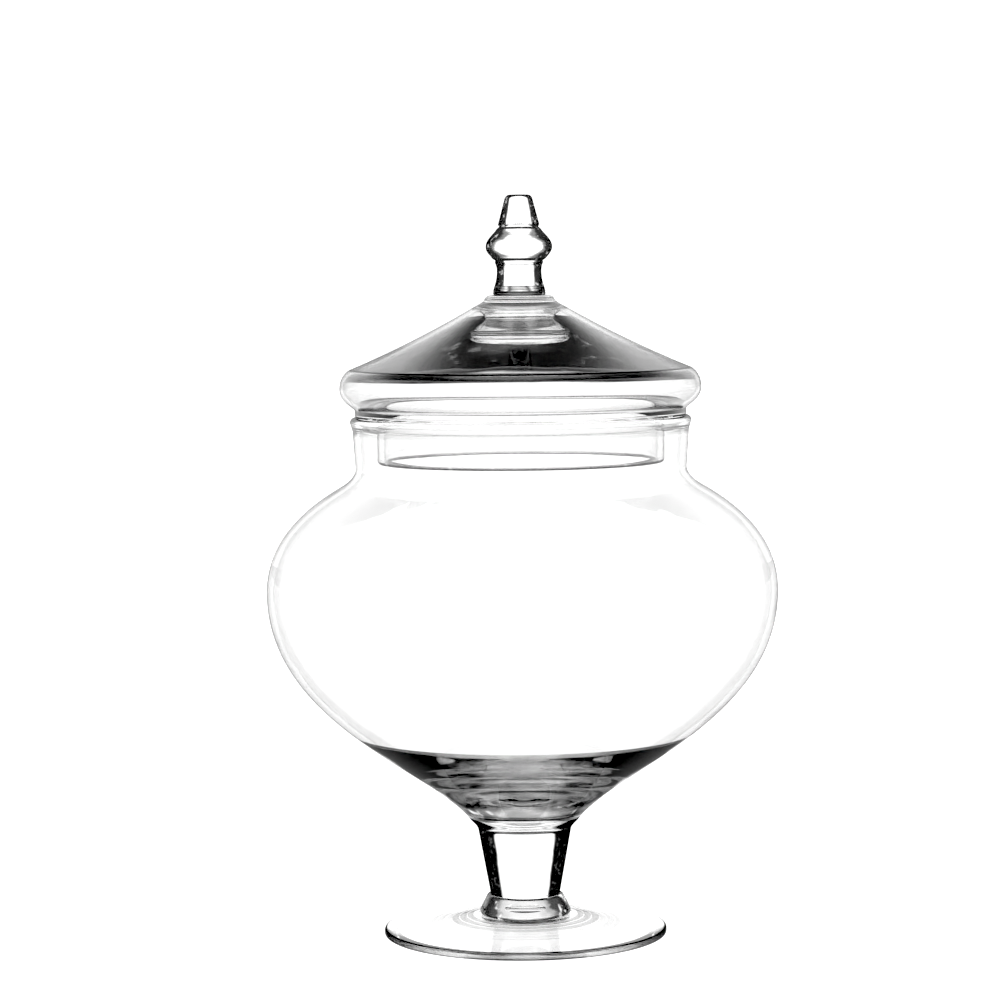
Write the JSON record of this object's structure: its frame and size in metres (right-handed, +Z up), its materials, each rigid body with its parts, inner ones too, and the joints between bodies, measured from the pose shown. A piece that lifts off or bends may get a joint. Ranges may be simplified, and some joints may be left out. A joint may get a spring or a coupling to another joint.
{
  "type": "apothecary jar",
  "caption": "Footed clear glass storage jar: round-bellied bowl on a short solid stem, straight neck, and a lift-off cone lid with a turned knob and a locating collar.",
  "frame": {"origin": "centre of the foot's resting face", "axes": "+Z up along the jar's axis; X and Y lie in the resting face, either way round"},
  "size_m": [0.241, 0.241, 0.3496],
  "materials": {
    "blown_glass": "clear soda-lime glass, mouth-blown, fire-polished, faintly wavy",
    "lid_glass": "clear soda-lime glass, blown, thick at the crown, faintly wavy",
    "solid_glass": "clear soda-lime glass, solid gathers tooled hot, fire-polished"
  },
  "bodies": {
    "jar": {"foot": "solid_glass", "foot_collar": "solid_glass", "stem": "solid_glass", "bowl": "blown_glass"},
    "lid": {"lid_collar": "blown_glass", "lid_dome": "lid_glass", "lid_knob": "solid_glass"}
  },
  "joints": [
    {"name": "lid_lift", "type": "slide", "parent": "jar", "child": "lid", "axis": [0, 0, 1], "range_m": [0, 0.08]}
  ]
}
